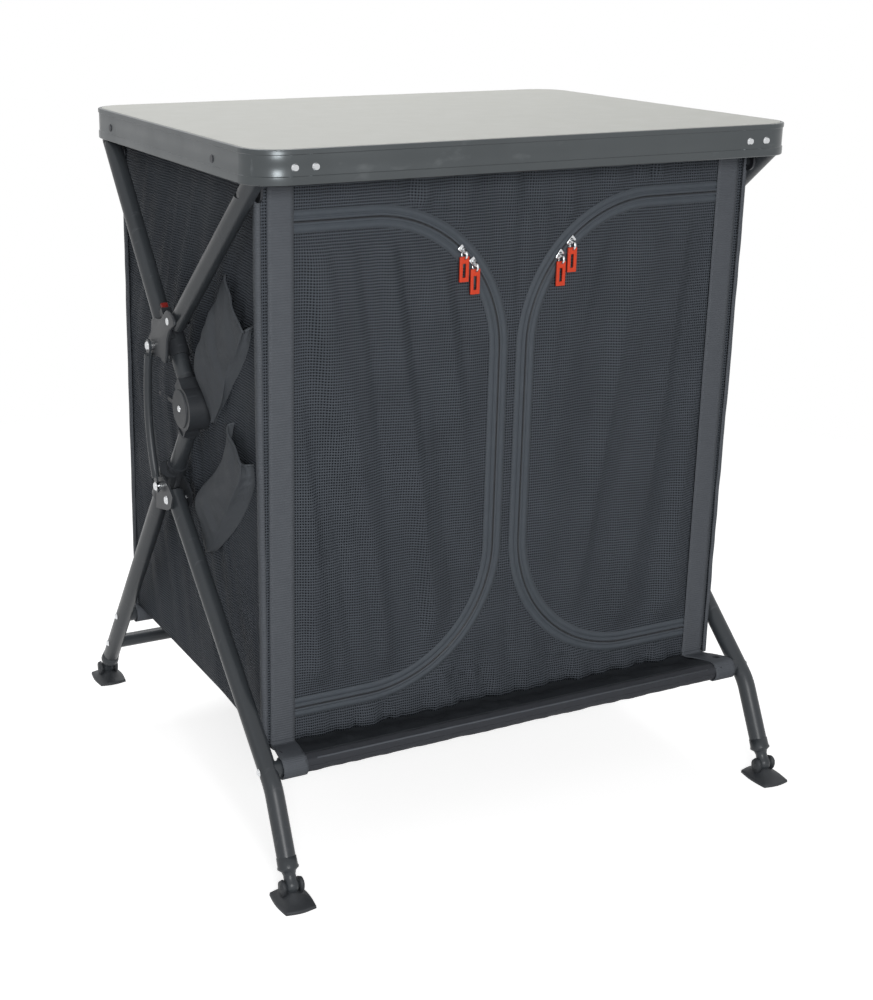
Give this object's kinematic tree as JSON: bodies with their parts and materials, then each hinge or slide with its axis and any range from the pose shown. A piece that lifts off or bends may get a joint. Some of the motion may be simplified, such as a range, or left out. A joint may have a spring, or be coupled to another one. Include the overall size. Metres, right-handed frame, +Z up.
{
  "type": "camping kitchen cupboard",
  "caption": "Folding camping cupboard: a worktop on a hinged tube frame with a zipped cloth body, shelves, side pockets and swivel feet.",
  "frame": {"origin": "on the floor under the middle of the four feet", "axes": "+Z up, +X to the right as seen from the door side, -Y is the door side"},
  "size_m": [0.7204, 0.702, 0.83],
  "materials": {
    "laminate": "light grey laminate worktop with a thin dark edge",
    "rail": "satin anthracite anodised rail",
    "tube": "satin anthracite powder coat on tube",
    "bracket": "dark grey moulded plastic with a fine grain",
    "steel": "bright plain steel",
    "dark_steel": "dark painted steel",
    "cloth": "dark grey coated polyester with a fine grid weave",
    "webbing": "grey woven polyester tape",
    "board": "dark covered hardboard",
    "red_plastic": "bright orange-red moulded plastic",
    "rubber": "dark grip rubber"
  },
  "bodies": {
    "worktop": {"worktop_panel": "laminate", "edge_rail": "rail", "rear_hinge_brackets": "dark_steel", "front_hinge_brackets": "dark_steel", "hinge_pins": "steel", "rail_screws": "dark_steel", "rail_rivets": "steel", "front_panel": "cloth", "front_webbing": "webbing", "zip_tapes": "webbing", "side_wall_left": "cloth", "side_wall_right": "cloth", "rear_wall": "cloth", "floor_cloth": "cloth", "side_pockets": "cloth"},
    "upper_rear_frame": {"upper_rear_tubes": "tube", "latch_bracket_left": "bracket", "latch_bracket_right": "bracket", "latch_rivets": "steel", "upper_knee_tubes": "tube", "upper_knuckles": "bracket", "knee_pins": "steel"},
    "front_braces": {"front_brace_tubes": "tube"},
    "struts": {"bowed_struts": "tube"},
    "lower_rear_frame": {"lower_knuckles": "bracket", "lower_knee_tubes": "tube", "hip_bracket_left": "bracket", "hip_bracket_right": "bracket", "hip_pins": "steel", "rear_leg_left": "tube", "rear_leg_right": "tube", "rear_cross_tubes": "tube", "rear_cross_rivets": "steel", "rear_leg_plugs": "bracket", "rear_sleeve": "cloth"},
    "front_legs": {"front_leg_left": "tube", "front_leg_right": "tube", "front_leg_plugs": "bracket", "front_cross_tube": "tube", "front_cross_rivets": "steel", "front_sleeve": "cloth"},
    "middle_shelf": {"middle_shelf": "board"},
    "floor_board": {"floor_board": "board"},
    "door_left": {"door_left": "cloth"},
    "front_foot_left": {"front_foot_left": "rubber"},
    "rear_foot_left": {"rear_foot_left": "rubber"},
    "latch_button_left": {"latch_button_left": "red_plastic"},
    "upper_zip_slider_left": {"upper_zip_slider_left": "steel"},
    "upper_zip_pull_left": {"upper_zip_pull_left": "red_plastic"},
    "lower_zip_slider_left": {"lower_zip_slider_left": "steel"},
    "lower_zip_pull_left": {"lower_zip_pull_left": "red_plastic"},
    "door_right": {"door_right": "cloth"},
    "front_foot_right": {"front_foot_right": "rubber"},
    "rear_foot_right": {"rear_foot_right": "rubber"},
    "latch_button_right": {"latch_button_right": "red_plastic"},
    "upper_zip_slider_right": {"upper_zip_slider_right": "steel"},
    "upper_zip_pull_right": {"upper_zip_pull_right": "red_plastic"},
    "lower_zip_slider_right": {"lower_zip_slider_right": "steel"},
    "lower_zip_pull_right": {"lower_zip_pull_right": "red_plastic"}
  },
  "joints": [
    {"name": "frame_fold", "type": "hinge", "parent": "worktop", "child": "upper_rear_frame", "pos_m": [0, 0.22, 0.7861], "axis": [-1, 0, 0], "range_deg": [0, 34.9], "deforming": ["front_panel", "front_webbing", "zip_tapes", "side_wall_left", "side_wall_right", "rear_wall", "floor_cloth", "side_pockets", "door_left", "door_right"]},
    {"name": "front_brace_fold", "type": "hinge", "parent": "upper_rear_frame", "child": "front_braces", "pos_m": [0, -0.0047, 0.6028], "axis": [1, 0, 0], "range_deg": [0, 94.2]},
    {"name": "knee_fold", "type": "hinge", "parent": "upper_rear_frame", "child": "lower_rear_frame", "pos_m": [0, -0.017, 0.498], "axis": [1, 0, 0], "range_deg": [0, 98.2]},
    {"name": "front_leg_fold", "type": "hinge", "parent": "lower_rear_frame", "child": "front_legs", "pos_m": [0, 0.018, 0.373], "axis": [1, 0, 0], "range_deg": [0, 73.5]},
    {"name": "strut_fold", "type": "hinge", "parent": "upper_rear_frame", "child": "struts", "pos_m": [0, 0.05128, 0.56199], "axis": [1, 0, 0], "range_deg": [0, 149]},
    {"name": "middle_shelf_lift", "type": "slide", "parent": "worktop", "child": "middle_shelf", "axis": [0, 0, 1], "range_m": [0, 0.301]},
    {"name": "floor_board_lift", "type": "slide", "parent": "worktop", "child": "floor_board", "axis": [0, 0, 1], "range_m": [0, 0.601]},
    {"name": "door_left_swing", "type": "hinge", "parent": "worktop", "child": "door_left", "pos_m": [-0.283, -0.208, 0.456], "axis": [0, 0, -1], "range_deg": [0, 110]},
    {"name": "upper_zip_left_run", "type": "hinge", "parent": "door_left", "child": "upper_zip_slider_left", "pos_m": [-0.198, -0.208, 0.564], "axis": [0, -1, 0], "range_deg": [0, 42]},
    {"name": "upper_pull_left_lift", "type": "hinge", "parent": "upper_zip_slider_left", "child": "upper_zip_pull_left", "pos_m": [-0.07234, -0.2157, 0.70113], "axis": [-1, 0, 0], "range_deg": [0, 100]},
    {"name": "lower_zip_left_run", "type": "hinge", "parent": "door_left", "child": "lower_zip_slider_left", "pos_m": [-0.198, -0.208, 0.564], "axis": [0, 1, 0], "range_deg": [0, 40]},
    {"name": "lower_pull_left_lift", "type": "hinge", "parent": "lower_zip_slider_left", "child": "lower_zip_pull_left", "pos_m": [-0.05762, -0.2157, 0.68603], "axis": [-1, 0, 0], "range_deg": [0, 100]},
    {"name": "front_foot_left_tilt", "type": "hinge", "parent": "front_legs", "child": "front_foot_left", "pos_m": [-0.336, -0.321, 0.019], "axis": [1, 0, 0], "range_deg": [-15, 15]},
    {"name": "rear_foot_left_tilt", "type": "hinge", "parent": "lower_rear_frame", "child": "rear_foot_left", "pos_m": [-0.336, 0.327, 0.019], "axis": [1, 0, 0], "range_deg": [-15, 15]},
    {"name": "latch_button_left_press", "type": "slide", "parent": "upper_rear_frame", "child": "latch_button_left", "axis": [0, -0.6569, -0.754], "range_m": [0, 0.0035], "stiffness_N_per_m": 800, "springref_m": -0.002},
    {"name": "door_right_swing", "type": "hinge", "parent": "worktop", "child": "door_right", "pos_m": [0.283, -0.208, 0.456], "axis": [0, 0, 1], "range_deg": [0, 110]},
    {"name": "upper_zip_right_run", "type": "hinge", "parent": "door_right", "child": "upper_zip_slider_right", "pos_m": [0.198, -0.208, 0.564], "axis": [0, 1, 0], "range_deg": [0, 42]},
    {"name": "upper_pull_right_lift", "type": "hinge", "parent": "upper_zip_slider_right", "child": "upper_zip_pull_right", "pos_m": [0.07234, -0.2157, 0.70113], "axis": [-1, 0, 0], "range_deg": [0, 100]},
    {"name": "lower_zip_right_run", "type": "hinge", "parent": "door_right", "child": "lower_zip_slider_right", "pos_m": [0.198, -0.208, 0.564], "axis": [0, -1, 0], "range_deg": [0, 40]},
    {"name": "lower_pull_right_lift", "type": "hinge", "parent": "lower_zip_slider_right", "child": "lower_zip_pull_right", "pos_m": [0.05762, -0.2157, 0.68603], "axis": [-1, 0, 0], "range_deg": [0, 100]},
    {"name": "front_foot_right_tilt", "type": "hinge", "parent": "front_legs", "child": "front_foot_right", "pos_m": [0.336, -0.321, 0.019], "axis": [1, 0, 0], "range_deg": [-15, 15]},
    {"name": "rear_foot_right_tilt", "type": "hinge", "parent": "lower_rear_frame", "child": "rear_foot_right", "pos_m": [0.336, 0.327, 0.019], "axis": [1, 0, 0], "range_deg": [-15, 15]},
    {"name": "latch_button_right_press", "type": "slide", "parent": "upper_rear_frame", "child": "latch_button_right", "axis": [0, -0.6569, -0.754], "range_m": [0, 0.0035], "stiffness_N_per_m": 800, "springref_m": -0.002}
  ],
  "couplings": [
    {"joint": "front_brace_fold", "follows": "frame_fold", "ratio": 2.6963},
    {"joint": "knee_fold", "follows": "frame_fold", "ratio": 2.8109},
    {"joint": "front_leg_fold", "follows": "frame_fold", "ratio": 2.1031},
    {"joint": "strut_fold", "follows": "frame_fold", "ratio": 4.2665},
    {"joint": "middle_shelf_lift", "follows": "frame_fold", "m_per_rad": 0.49251},
    {"joint": "floor_board_lift", "follows": "frame_fold", "m_per_rad": 0.98503}
  ]
}
